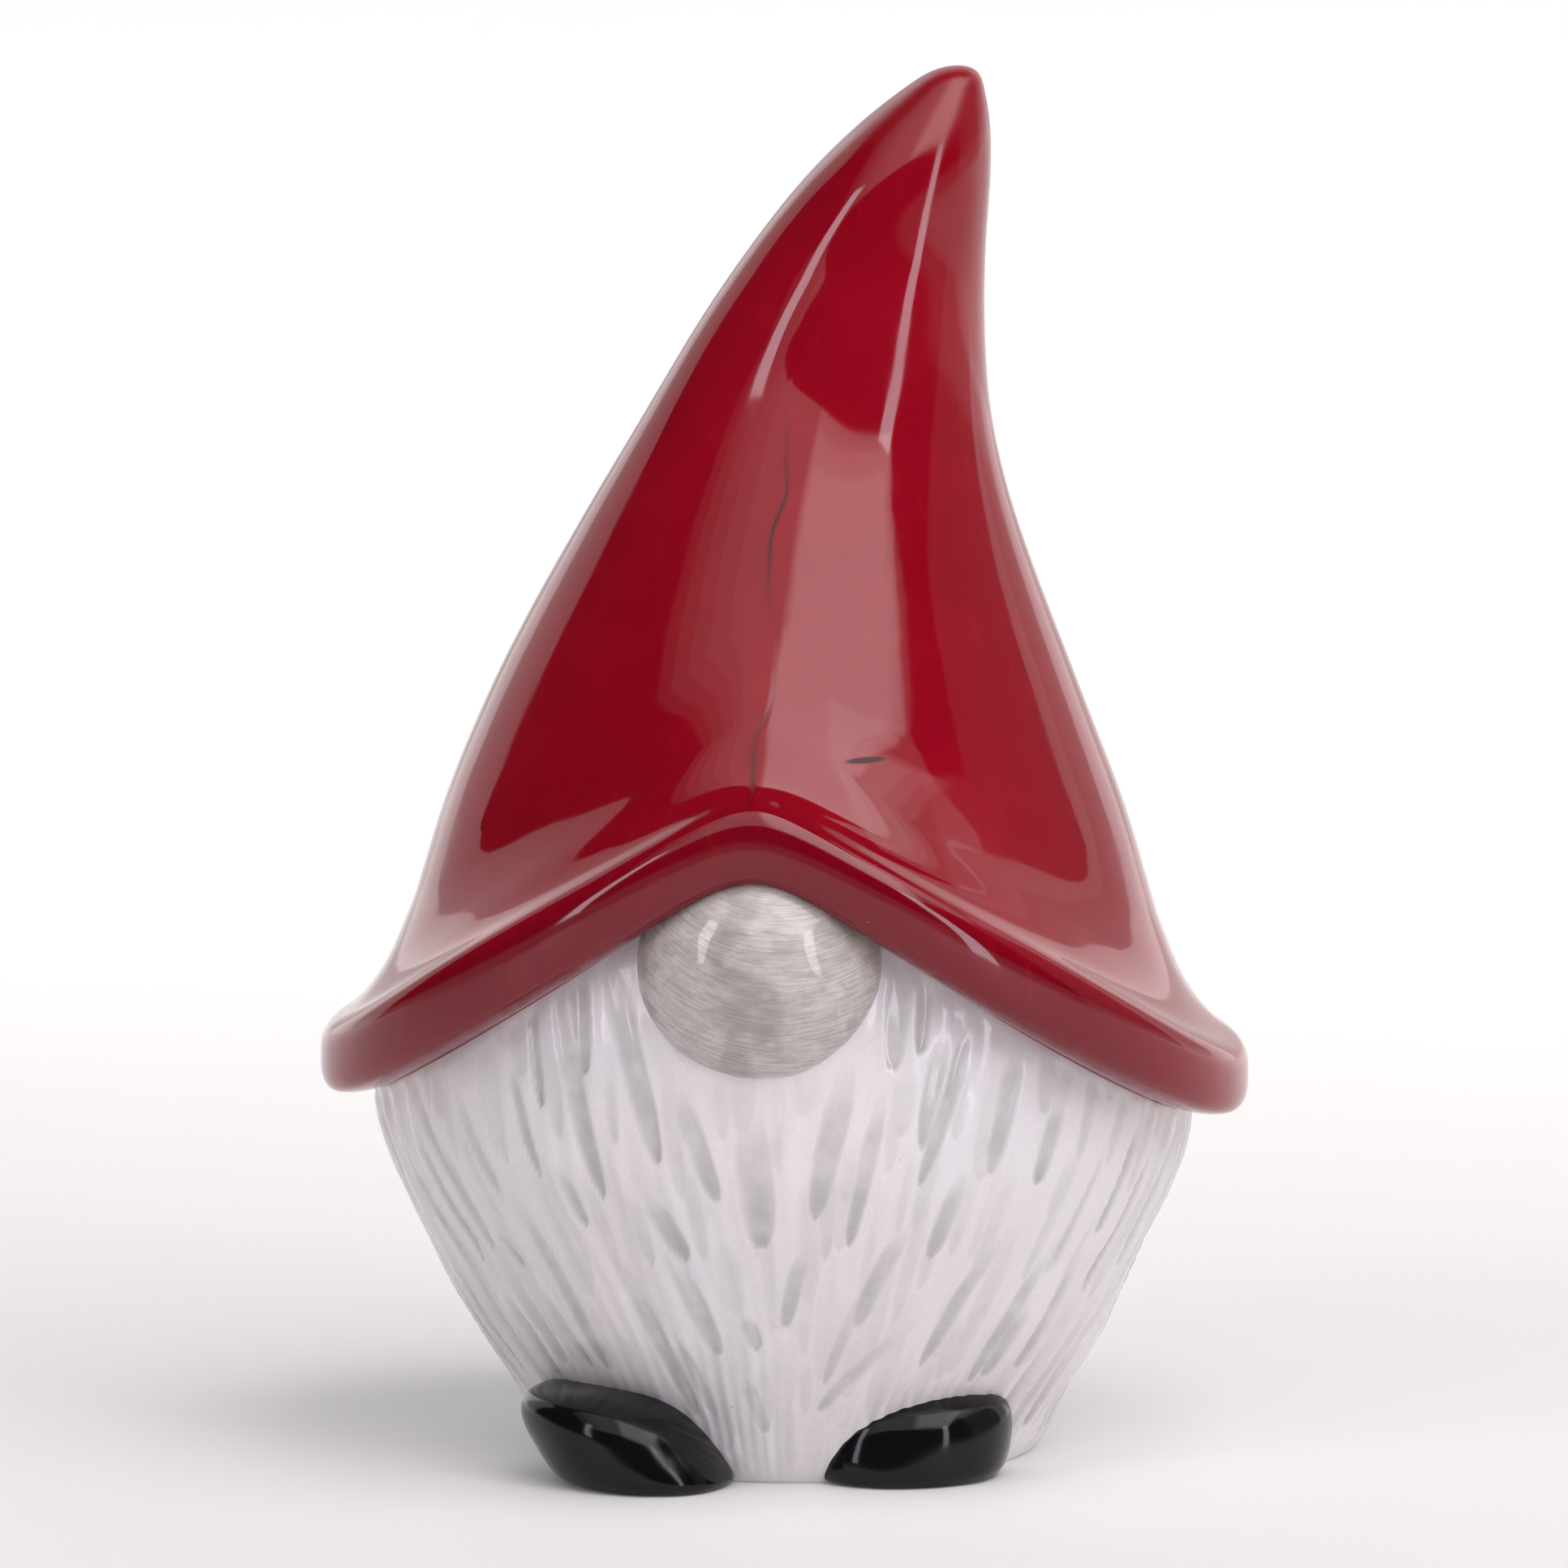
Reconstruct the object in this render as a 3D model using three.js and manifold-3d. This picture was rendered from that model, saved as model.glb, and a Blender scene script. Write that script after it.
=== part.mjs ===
/**
 * Garden gnome: a glazed ceramic ornament with a hollow beard-shaped body, a hollow leaning hat
 * whose brim sits on the body's shoulder and round its collar, a nose and two shoe tips.
 *
 * Millimetres, +Z up. The gnome faces -Y and its hat leans towards +X, its own left. The origin
 * is on the ground, under the middle of the whole figure.
 */
import * as THREE from 'three';
import { mergeVertices } from 'three/addons/utils/BufferGeometryUtils.js';
import Module from 'manifold-3d';

const wasm = await Module();
wasm.setup();

// The casting
const HEIGHT = 180; // ground to the tip of the hat
const WALL = 4.5; // thickness of the cast clay
const GAP = 0.3; // clearance between pieces that touch
const SEGMENTS = 40; // facets round the figure

// The hat: a cone that leans more and more towards its tip
const CONE = {
  // height, half width
  outline: [
    [40, 52.6],
    [60, 50.3],
    [72, 47.6],
    [84, 44.2],
    [94, 40.4],
    [104, 36.1],
    [115, 31],
    [126, 26],
    [136, 22],
    [147, 18.4],
    [157, 15.1],
    [166, 11.8],
    [172, 8.7],
    [177, 5.2],
  ],
  depth: 0.91, // front to back, as a share of the width
  tip: { depth: 1.1, start: 154, end: 179 }, // the same at the tip, and the heights of the change
  tipRadius: 6, // rounding of the tip
  lean: 22.4, // how far the tip is out of the middle
  leanStart: 83, // height where the lean begins
  leanPower: 2.6,
  hollowTop: 168, // top of the hollow, below a solid tip
  fullness: 3.6, // how far the front is filled out above the brim
  fullnessStart: 9, // heights above the brim's edge where the filling begins and where it is whole
  fullnessWhole: 20,
  // the bend where the tip begins: the front is drawn in there, and is plain again by the top
  neck: { height: 141, top: 172, dip: -1.2, rounding: 0.2, fadeStart: 160, fadeEnd: 177 },
};

// The brim: a roll that stands out of the foot of the cone, and rises to a peak over the nose
const BRIM = {
  // height above the brim's edge, share of the flare, at the front and at the sides and back
  frontRoll: [
    [0, 0.62],
    [2.2, 0.88],
    [6.2, 0.985],
    [7.8, 1],
    [10, 0.89],
    [11.6, 0.69],
    [15.2, 0.4],
    [19, 0.21],
    [23.5, 0.08],
    [31, 0],
  ],
  sideRoll: [
    [0, 0.62],
    [1.5, 0.91],
    [3, 0.98],
    [4.6, 1],
    [7.8, 0.91],
    [9.6, 0.75],
    [13.3, 0.4],
    [17.2, 0.2],
    [22, 0.08],
    [31, 0],
  ],
  thickening: 0.22, // how much taller the roll is on the slopes of the edge
  thickeningEnd: 14, // height where that begins to fade out up the cone
  flare: { front: 12.6, side: 8.6, back: 7.4 }, // how far it stands out of the cone
  reach: 58, // half width of the edge's track
  peakHeight: 80.4,
  peakX: -1.5,
  peakRounding: 7,
  slope: 0.68, // fall of the edge from the peak to the sides; it lies level behind
};

// The body: the beard, narrowing to a round base
const BODY = {
  // height, half width
  outline: [
    [0, 31],
    [1.5, 32.3],
    [6, 34.7],
    [14, 39.6],
    [22, 44],
    [31, 48.3],
    [41, 52.3],
    [50, 53.2],
    [60, 52.4],
    [70, 50.3],
    [84, 46.4],
  ],
  baseDepth: 1, // front to back, as a share of the width, at the base
  topDepth: 0.92, // and from the widest part up
  widestHeight: 45,
  baseX: 1.5, // the base stands this far towards +X of the hat
};
const SHOULDER_RISE = 1; // shoulder above the brim's edge, so that the roll hides the join
const COLLAR_HEIGHT = 9; // collar above the shoulder
const FLOOR = 5; // thickness of the base
const POUR_HOLE_RADIUS = 11; // hole that the slip was poured out of
const FOOT_RING_RADIUS = 21; // inner edge of the ring that the figure stands on
const FOOT_RECESS = 1; // base inside the foot ring, above the ground

// The nose: an ellipsoid against the beard, tucked under the brim's peak
const NOSE = { centre: [-0.8, -41, 68.4], radii: [16.1, 13.6, 16.1] };

// The shoes: toe caps against the foot of the beard, named from the gnome's own sides
// share of the plan's size, share of the height
const TOE_PROFILE = [
  [0.86, 0],
  [0.95, 0.05],
  [1, 0.2],
  [0.985, 0.42],
  [0.93, 0.62],
  [0.82, 0.79],
  [0.62, 0.92],
  [0.34, 0.985],
];
// lean is how far the top stands to the side and back, point how far the toe's end swings sideways
const RIGHT_SHOE = {
  middle: [-16, -29.2],
  halfWidth: 12,
  reach: 14.4,
  height: 12.5,
  lean: [-7.2, 1.5],
  point: 1.5,
};
const LEFT_SHOE = {
  middle: [17, -23.8],
  halfWidth: 12.7,
  reach: 12.4,
  height: 12,
  lean: [2.2, 1],
  point: -1.2,
};

// ---------------------------------------------------------------------------------------------
// Outlines and the lines that the pieces share

/** The radius at a height, on a smooth curve through an outline's points. */
function smoothOutline(points) {
  const heights = points.map(([height]) => height);
  const radii = points.map(([, radius]) => radius);
  const curve = new THREE.CubicInterpolant(heights, radii, 1);
  return (height) => curve.evaluate(height)[0];
}

const coneOutline = smoothOutline(CONE.outline);
const bodyOutline = smoothOutline(BODY.outline);

/** Half width of the hat's cone at a height, with the rounded tip as an arc. */
function coneRadius(height) {
  const arcCentre = HEIGHT - CONE.tipRadius;
  const arcStart = HEIGHT - CONE.tipRadius / 2;
  if (height < arcStart) return coneOutline(height);
  return Math.sqrt(Math.max(0, CONE.tipRadius ** 2 - (height - arcCentre) ** 2));
}

/** How far the hat's middle is from the figure's at a height. */
function hatLean(height) {
  const share = Math.max(0, (height - CONE.leanStart) / (HEIGHT - CONE.leanStart));
  return CONE.lean * share ** CONE.leanPower;
}

/** A point at an angle round the body, a distance outside the beard's surface. */
function bodyPoint(angle, height, offset = 0) {
  const share = Math.min(1, height / BODY.widestHeight);
  const depth = THREE.MathUtils.lerp(BODY.baseDepth, BODY.topDepth, share);
  const radius = bodyOutline(height);
  return [
    BODY.baseX * (1 - share) + (radius + offset) * Math.cos(angle),
    (radius * depth + offset) * Math.sin(angle),
    height,
  ];
}

/** Height of the brim's edge, from how far across the figure it is as a share of its reach. */
function edgeHeight(across) {
  const fromPeak = BRIM.reach * across - BRIM.peakX;
  const run = Math.hypot(fromPeak, BRIM.peakRounding) - BRIM.peakRounding;
  return BRIM.peakHeight - BRIM.slope * run;
}

/** Height of the brim's edge at an angle. The front half is where the angle is over pi. */
function brimEdge(angle) {
  const across = Math.cos(angle);
  if (angle > Math.PI) return edgeHeight(across);
  return THREE.MathUtils.lerp(edgeHeight(-1), edgeHeight(1), (1 + across) / 2);
}

/** How far the brim stands out of the cone at an angle. */
function brimFlare(angle) {
  const facing = Math.sin(angle);
  const end = facing < 0 ? BRIM.flare.front : BRIM.flare.back;
  return THREE.MathUtils.lerp(BRIM.flare.side, end, facing ** 2);
}

/** How squarely an angle faces the front: 1 in the middle of the front, and 0 from the sides back. */
function facingFront(angle) {
  return Math.max(0, -Math.sin(angle));
}

/** How far the front of the hat stands out: full above the brim, and drawn in at the neck. */
function frontFullness(angle, height) {
  const { lerp, smoothstep } = THREE.MathUtils;
  const { neck, fullness, fullnessStart, fullnessWhole } = CONE;
  const rise = height - brimEdge(angle);
  const climb = neck.height - brimEdge(angle) - fullnessStart;
  const lower = lerp(fullness, neck.dip, (rise - fullnessStart) / climb);
  const upper = lerp(neck.dip, 0, (height - neck.height) / (neck.top - neck.height));
  const bent = (lower + upper) / 2 + Math.hypot((lower - upper) / 2, neck.rounding);
  const fadeIn = smoothstep(rise, fullnessStart, fullnessWhole);
  const fadeOut = 1 - smoothstep(height, neck.fadeStart, neck.fadeEnd);
  return bent * fadeIn * fadeOut * facingFront(angle) ** 1.5;
}

/** A point at an angle round the hat, a distance outside the cone's surface. */
function hatPoint(angle, height, offset = 0) {
  const { lerp, smoothstep } = THREE.MathUtils;
  const radius = coneRadius(height);
  const depth = lerp(CONE.depth, CONE.tip.depth, smoothstep(height, CONE.tip.start, CONE.tip.end));
  return [
    hatLean(height) + (radius + offset) * Math.cos(angle),
    (radius * depth + offset) * Math.sin(angle) - frontFullness(angle, height),
    height,
  ];
}

/** A point on a row of the brim's roll, at an angle. */
function rollPoint(row, angle, grow) {
  const { lerp, smoothstep } = THREE.MathUtils;
  const facing = facingFront(angle) ** 2;
  const [frontRise, frontShare] = BRIM.frontRoll[row];
  const [sideRise, sideShare] = BRIM.sideRoll[row];
  const rise = lerp(sideRise, frontRise, facing);
  const onSlope = Math.sin(2 * angle) ** 2 * facingFront(angle);
  const fade = 1 - smoothstep(rise, BRIM.thickeningEnd, BRIM.sideRoll.at(-1)[0]);
  const raised = rise * (1 + BRIM.thickening * onSlope * fade);
  const share = lerp(sideShare, frontShare, facing);
  return hatPoint(angle, brimEdge(angle) + raised, share * brimFlare(angle) + grow);
}

// ---------------------------------------------------------------------------------------------
// Meshes and solids

/** The points of one ring, from a function of the angle. */
function ring(pointAt) {
  return Array.from({ length: SEGMENTS }, (_, k) => pointAt((2 * Math.PI * k) / SEGMENTS));
}

/**
 * Skins rings in order, up the outside and down the inside. A pole is a ring of one point. Each
 * four-sided facet is split along its shorter diagonal, so that touching skins bend alike.
 */
function loft(rings, closesOnItself = false) {
  const points = rings.flat();
  const index = [];
  let first = 0;
  const numbered = rings.map(({ length }) => {
    const start = first;
    first += length;
    return (k) => start + (k % length);
  });
  const span = (a, b) => Math.hypot(...points[a].map((value, i) => value - points[b][i]));
  const addTriangle = (a, b, c) => {
    if (a !== b && b !== c && c !== a) index.push(a, b, c);
  };
  const bands = closesOnItself ? rings.length : rings.length - 1;
  for (let i = 0; i < bands; i += 1) {
    const here = numbered[i];
    const next = numbered[(i + 1) % rings.length];
    for (let k = 0; k < SEGMENTS; k += 1) {
      const [a, b, c, d] = [here(k), here(k + 1), next(k + 1), next(k)];
      const shorter = span(a, c) < span(b, d);
      addTriangle(a, b, shorter ? c : d);
      addTriangle(shorter ? a : b, c, d);
    }
  }
  const geometry = new THREE.BufferGeometry();
  geometry.setAttribute('position', new THREE.Float32BufferAttribute(points.flat(), 3));
  geometry.setIndex(index);
  return geometry;
}

/** A closed geometry as a solid that can be cut. */
function toSolid(geometry) {
  const bare = geometry.clone();
  bare.deleteAttribute('normal');
  bare.deleteAttribute('uv');
  const merged = mergeVertices(bare, 1e-4);
  const corners = merged.index.array;
  const triVerts = [];
  for (let i = 0; i < corners.length; i += 3) {
    const [a, b, c] = corners.slice(i, i + 3);
    if (a !== b && b !== c && c !== a) triVerts.push(a, b, c);
  }
  const mesh = new wasm.Mesh({
    numProp: 3,
    vertProperties: merged.attributes.position.array,
    triVerts: new Uint32Array(triVerts),
  });
  return new wasm.Manifold(mesh);
}

/** A cut solid as a geometry. */
function toGeometry(solid) {
  const mesh = solid.getMesh();
  const geometry = new THREE.BufferGeometry();
  geometry.setAttribute('position', new THREE.BufferAttribute(mesh.vertProperties, 3));
  geometry.setIndex(new THREE.BufferAttribute(mesh.triVerts, 1));
  return geometry;
}

/** Evenly spaced shares from one value to another, both ends included. */
function steps(from, to, count) {
  return Array.from({ length: count }, (_, i) => THREE.MathUtils.lerp(from, to, i / (count - 1)));
}

// ---------------------------------------------------------------------------------------------
// The hat

/** Rings of the hat's outside, from the brim's edge up to the tip. */
function hatOutsideRings(grow = 0) {
  const brim = BRIM.sideRoll.map((_, row) => ring((angle) => rollPoint(row, angle, grow)));
  const [rollTop] = BRIM.sideRoll.at(-1);
  const arcStart = HEIGHT - CONE.tipRadius / 2;
  const cone = steps(0, 1, 14)
    .slice(1)
    .map((share) =>
      ring((angle) => {
        const height = THREE.MathUtils.lerp(brimEdge(angle) + rollTop, arcStart, share);
        return hatPoint(angle, height, grow);
      }),
    );
  const tip = [45, 65].map((degrees) => {
    const rise = CONE.tipRadius * (1 - Math.sin(THREE.MathUtils.degToRad(degrees)));
    return ring((angle) => hatPoint(angle, HEIGHT - rise, grow));
  });
  return [...brim, ...cone, ...tip, [[hatLean(HEIGHT), 0, HEIGHT + grow]]];
}

function hatGeometry() {
  const seat = SHOULDER_RISE + GAP;
  const solidTip = HEIGHT - CONE.hollowTop;
  const collarTop = SHOULDER_RISE + COLLAR_HEIGHT;
  const hollow = steps(0, 1, 10).map((share) =>
    ring((angle) => {
      const height = THREE.MathUtils.lerp(
        CONE.hollowTop - solidTip / 2,
        brimEdge(angle) + collarTop,
        share,
      );
      return hatPoint(angle, height, -WALL);
    }),
  );
  const seatInside = ring((angle) => hatPoint(angle, brimEdge(angle) + seat, -WALL));
  const seatOutside = ring((angle) => bodyPoint(angle, brimEdge(angle) + seat, GAP));
  const edgeInside = ring((angle) => bodyPoint(angle, brimEdge(angle) + GAP, GAP));
  return loft([
    [[hatLean(CONE.hollowTop), 0, CONE.hollowTop]],
    ...hollow,
    seatInside,
    seatOutside,
    edgeInside,
    ...hatOutsideRings(),
  ]);
}

// ---------------------------------------------------------------------------------------------
// The body

/** Rings of the beard's outside, from the ground up to the shoulder. */
function bodyOutsideRings(grow = 0) {
  const shares = [0, 0.03, 0.1, ...steps(0.2, 1, 11)];
  return shares.map((share) =>
    ring((angle) => bodyPoint(angle, share * (brimEdge(angle) + SHOULDER_RISE), grow)),
  );
}

function bodyGeometry() {
  const innerWall = steps(1, 0, 11).map((share) =>
    ring((angle) => {
      const height = THREE.MathUtils.lerp(FLOOR, brimEdge(angle) - WALL, share);
      return bodyPoint(angle, height, -WALL);
    }),
  );
  const collarOffset = -WALL - GAP;
  const collar = [
    [SHOULDER_RISE, collarOffset],
    [SHOULDER_RISE + COLLAR_HEIGHT, collarOffset],
    [SHOULDER_RISE + COLLAR_HEIGHT, collarOffset - WALL],
    [SHOULDER_RISE, collarOffset - WALL],
  ].map(([rise, offset]) => ring((angle) => hatPoint(angle, brimEdge(angle) + rise, offset)));
  const underside = [
    [POUR_HOLE_RADIUS, FLOOR],
    [POUR_HOLE_RADIUS, FOOT_RECESS],
    [FOOT_RING_RADIUS, FOOT_RECESS],
    [FOOT_RING_RADIUS + FOOT_RECESS, 0],
  ].map(([radius, height]) =>
    ring((angle) => [BODY.baseX + radius * Math.cos(angle), radius * Math.sin(angle), height]),
  );
  return loft([...bodyOutsideRings(), ...collar, ...innerWall, ...underside], true);
}

// ---------------------------------------------------------------------------------------------
// The nose and the shoes, cut to lie against the body and the hat

/** The filled shape of the body and hat together, grown by the gap. */
function figureWithGap() {
  const middle = [[0, 0, brimEdge(0)]];
  const below = [[BODY.baseX, 0, -HEIGHT]];
  const sunkBase = ring((angle) => bodyPoint(angle, 0, GAP).with(2, -HEIGHT));
  const core = ring((angle) => hatPoint(angle, BRIM.peakHeight + COLLAR_HEIGHT, -WALL));
  const coreTop = [[0, 0, BRIM.peakHeight + COLLAR_HEIGHT]];
  const body = toSolid(loft([below, sunkBase, ...bodyOutsideRings(GAP), core, coreTop]));
  const edge = ring((angle) => bodyPoint(angle, brimEdge(angle) - GAP, -WALL));
  const [[, rollStart]] = BRIM.sideRoll;
  const lip = ring((angle) =>
    hatPoint(angle, brimEdge(angle) - GAP, rollStart * brimFlare(angle) + GAP),
  );
  const hat = toSolid(loft([middle, edge, lip, ...hatOutsideRings(GAP)]));
  return body.add(hat);
}

function noseSolid() {
  const ball = new THREE.SphereGeometry(1, 32, 20);
  ball.rotateX(Math.PI / 2);
  ball.scale(...NOSE.radii);
  ball.translate(...NOSE.centre);
  return toSolid(ball);
}

function shoeSolid({ middle, halfWidth, reach, height, lean, point }) {
  const pointAt = (out, up, angle) => [
    middle[0] + lean[0] * up + out * (halfWidth * Math.cos(angle) + point * facingFront(angle)),
    middle[1] + lean[1] * up + out * reach * Math.sin(angle),
    height * up,
  ];
  const rings = TOE_PROFILE.map(([out, up]) => ring((angle) => pointAt(out, up, angle)));
  return toSolid(loft([[pointAt(0, 0, 0)], ...rings, [pointAt(0, 1, 0)]]));
}

// ---------------------------------------------------------------------------------------------
// Glazes and the assembly

function glaze(color, roughness) {
  return new THREE.MeshStandardMaterial({ color, roughness, metalness: 0 });
}

function piece(name, geometry, material) {
  const mesh = new THREE.Mesh(geometry, material);
  geometry.computeVertexNormals();
  mesh.name = name;
  return mesh;
}

const redGlaze = () => glaze(0x86101e, 0.12);
const whiteGlaze = () => glaze(0xd8d2d3, 0.18);
const greyGlaze = () => glaze(0xb0a8a1, 0.2);
const blackGlaze = () => glaze(0x120f12, 0.1);

const figure = figureWithGap();
const gnome = new THREE.Group();
gnome.name = 'garden_gnome';
gnome.add(
  piece('hat', hatGeometry(), redGlaze()),
  piece('body', bodyGeometry(), whiteGlaze()),
  piece('nose', toGeometry(noseSolid().subtract(figure)), greyGlaze()),
  piece('left_shoe', toGeometry(shoeSolid(LEFT_SHOE).subtract(figure)), blackGlaze()),
  piece('right_shoe', toGeometry(shoeSolid(RIGHT_SHOE).subtract(figure)), blackGlaze()),
);

export default gnome;
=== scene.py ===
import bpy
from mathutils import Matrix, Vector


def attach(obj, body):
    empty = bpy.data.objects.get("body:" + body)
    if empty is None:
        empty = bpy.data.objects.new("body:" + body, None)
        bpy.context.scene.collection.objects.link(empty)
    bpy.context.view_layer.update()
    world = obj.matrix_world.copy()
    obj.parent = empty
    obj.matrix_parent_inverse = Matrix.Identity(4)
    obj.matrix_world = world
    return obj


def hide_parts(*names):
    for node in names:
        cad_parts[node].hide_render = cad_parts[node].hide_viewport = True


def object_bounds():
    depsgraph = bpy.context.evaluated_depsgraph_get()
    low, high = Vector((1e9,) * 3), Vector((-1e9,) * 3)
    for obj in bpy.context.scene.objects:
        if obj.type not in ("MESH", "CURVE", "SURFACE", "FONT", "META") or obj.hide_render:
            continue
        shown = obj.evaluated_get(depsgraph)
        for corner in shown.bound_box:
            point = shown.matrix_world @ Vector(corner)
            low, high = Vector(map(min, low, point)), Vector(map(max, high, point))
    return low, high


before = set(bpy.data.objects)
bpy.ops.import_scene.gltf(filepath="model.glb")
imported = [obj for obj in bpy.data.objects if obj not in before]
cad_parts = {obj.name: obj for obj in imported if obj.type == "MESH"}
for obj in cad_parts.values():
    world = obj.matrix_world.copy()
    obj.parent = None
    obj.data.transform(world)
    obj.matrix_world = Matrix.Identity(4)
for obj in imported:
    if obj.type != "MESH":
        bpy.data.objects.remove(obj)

"""Garden gnome in glazed ceramic: a leaning red hat over a carved white beard, a nose and two shoe tips.

Shapes are worked out in the gnome's own millimetres, with +Z up and the face towards -Y, and scaled to the
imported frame. A "turn" is an angle round the figure from the front, positive towards +X.
"""
import math

import bpy
import numpy as np
from mathutils import Vector

LOW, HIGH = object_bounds()

# The casting, in millimetres
HEIGHT = 180.0
MM = (HIGH.z - LOW.z) / HEIGHT  # one of its millimetres in the frame's metres
WALL = 4.5
JOIN = 0.08  # gap left where two pieces are fused by their glaze

# The hat: a cone that leans more and more towards its tip, and bends over at its neck
CONE_OUTLINE = [  # height, half width
    (40, 52.6),
    (60, 50.3),
    (72, 47.6),
    (84, 44.2),
    (94, 40.4),
    (104, 36.1),
    (115, 31),
    (126, 26),
    (136, 22),
    (147, 18.4),
    (157, 15.1),
    (166, 11.8),
    (172, 8.7),
    (177, 5.2),
    (179.2, 3),
]
CONE_DEPTH = 0.91  # front to back, as a share of the width
TIP_DEPTH = 1.1  # and at the tip
TIP_DEPTH_START, TIP_DEPTH_END = 154, 179
NECK_HEIGHT = 141  # where the tip bends out of the cone
NECK_TOP = 172
NECK_DIP = -1.2  # how far the front is drawn in at the neck
NECK_ROUNDING = 0.2
FRONT_FULLNESS = 3.6  # how far the front is filled out just above the brim
LEAN = 22.4
LEAN_START = 83
LEAN_POWER = 2.6
HOLLOW_TOP = 168

# The brim: a roll that stands out of the foot of the cone, and rises to a peak over the nose.
# Both rolls are given as a share of the flare and a height above the brim's edge.
FRONT_ROLL = [
    (0.16, 0.7),
    (0.40, 0.1),
    (0.62, 0),
    (0.79, 0.7),
    (0.88, 2.2),
    (0.945, 4.2),
    (0.985, 6.2),
    (1, 7.8),
    (0.975, 9.0),
    (0.89, 10.0),
    (0.76, 11.0),
    (0.59, 12.6),
    (0.40, 15.2),
    (0.21, 19),
    (0.08, 23.5),
    (0.015, 28),
    (0, 31),
]
SIDE_ROLL = [
    (0.16, 0.5),
    (0.38, 0.05),
    (0.62, 0),
    (0.80, 0.4),
    (0.90, 1.4),
    (0.965, 3.2),
    (0.99, 5.0),
    (1, 6.4),
    (0.97, 7.8),
    (0.86, 9.2),
    (0.67, 10.6),
    (0.41, 13.3),
    (0.2, 17.2),
    (0.08, 22),
    (0.03, 25),
    (0.01, 28),
    (0, 31),
]
ROLL_THICKENING = 0.22  # how much taller the roll grows towards its slopes
FLARE_FRONT, FLARE_SIDE, FLARE_BACK = 12.6, 8.6, 7.4  # how far the brim stands out
EDGE_REACH = 58  # half the brim's width
PEAK_HEIGHT = 80.4
PEAK_X = -1.5
PEAK_ROUNDING = 7
EDGE_SLOPE = 0.68

# The body: the beard, narrowing to a round base
BODY_OUTLINE = [  # height, half width
    (-2, 29.5),
    (0, 31),
    (1.5, 32.3),
    (6, 34.7),
    (14, 39.6),
    (22, 44),
    (31, 48.3),
    (41, 52.3),
    (50, 53.2),
    (60, 52.4),
    (70, 50.3),
    (84, 46.4),
]
BODY_TOP_DEPTH = 0.92
BODY_WIDEST = 45
BASE_X = 1.5
SHOULDER_RISE = 1
COLLAR_HEIGHT = 9
FLOOR_THICKNESS = 5
POUR_HOLE_RADIUS = 11
FOOT_RING_RADIUS = 21
FOOT_RECESS = 1
FOOT_FLAT_RADIUS = 29.5

# The nose
NOSE_CENTRE = np.array([-0.8, -41, 68.4])
NOSE_RADII = np.array([16.1, 13.6, 16.1])
NOSE_FILLET = 0.3
BEARD_AT_NOSE = 46.4  # how far the beard's surface is from the axis round the nose
SINK = 1.0  # how far the nose and the shoes are pressed into the beard

# Mesh fineness
HAT_SEGMENTS = 320
BODY_SEGMENTS = 540
LUMP_SEGMENTS = 128
ROLL_ROWS = 120
CONE_ROWS = 121
BEARD_ROWS = 136
NOSE_ROWS = 73
SHOE_ROWS = 60
FRONT_CROWDING = 0.6  # how much closer together the facets are in front


# ------------------------------------------------------------------------------------------------
# Curves

def smooth_curve(points):
    """A curve without kinks through points of (position, value)."""
    place, value = np.array(points, float).T
    step = np.diff(place)
    matrix = np.eye(len(place))
    right = np.zeros(len(place))
    for i in range(1, len(place) - 1):
        matrix[i, i - 1:i + 2] = step[i - 1], 2 * (step[i - 1] + step[i]), step[i]
        right[i] = 6 * ((value[i + 1] - value[i]) / step[i] - (value[i] - value[i - 1]) / step[i - 1])
    bend = np.linalg.solve(matrix, right)

    def at(position):
        i = np.clip(np.searchsorted(place, position) - 1, 0, len(step) - 1)
        after, before = position - place[i], place[i + 1] - position
        curved = (bend[i] * before ** 3 + bend[i + 1] * after ** 3) / (6 * step[i])
        straight = (value[i] / step[i] - bend[i] * step[i] / 6) * before
        straight += (value[i + 1] / step[i] - bend[i + 1] * step[i] / 6) * after
        return curved + straight

    return at


def smooth_path(points, count):
    """Points spread evenly along a smooth path through a list of points."""
    corners = np.array(points, float)
    along = np.concatenate([[0], np.cumsum(np.linalg.norm(np.diff(corners, axis=0), axis=1))])
    curves = [smooth_curve(list(zip(along, column))) for column in corners.T]
    fine = np.linspace(0, along[-1], 20 * count)
    track = np.stack([curve(fine) for curve in curves], axis=1)
    length = np.concatenate([[0], np.cumsum(np.linalg.norm(np.diff(track, axis=0), axis=1))])
    even = np.linspace(0, length[-1], count)
    return np.stack([np.interp(even, length, column) for column in track.T], axis=1)


def mix(start, end, share):
    return start + (end - start) * share


def smoothstep(low, high, value):
    share = np.clip((value - low) / (high - low), 0, 1)
    return share * share * (3 - 2 * share)


def ripple(points, size, seed):
    """Smooth random waves over points, about -1 to 1 high and a size across."""
    random = np.random.default_rng(seed)
    total = np.zeros(points.shape[:-1])
    for _ in range(14):
        direction = random.normal(size=3)
        direction /= np.linalg.norm(direction)
        wavelength = size * random.uniform(0.7, 1.5)
        phase = random.uniform(0, 2 * math.pi)
        total += np.sin(points @ direction * (2 * math.pi / wavelength) + phase)
    return total / 4


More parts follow.
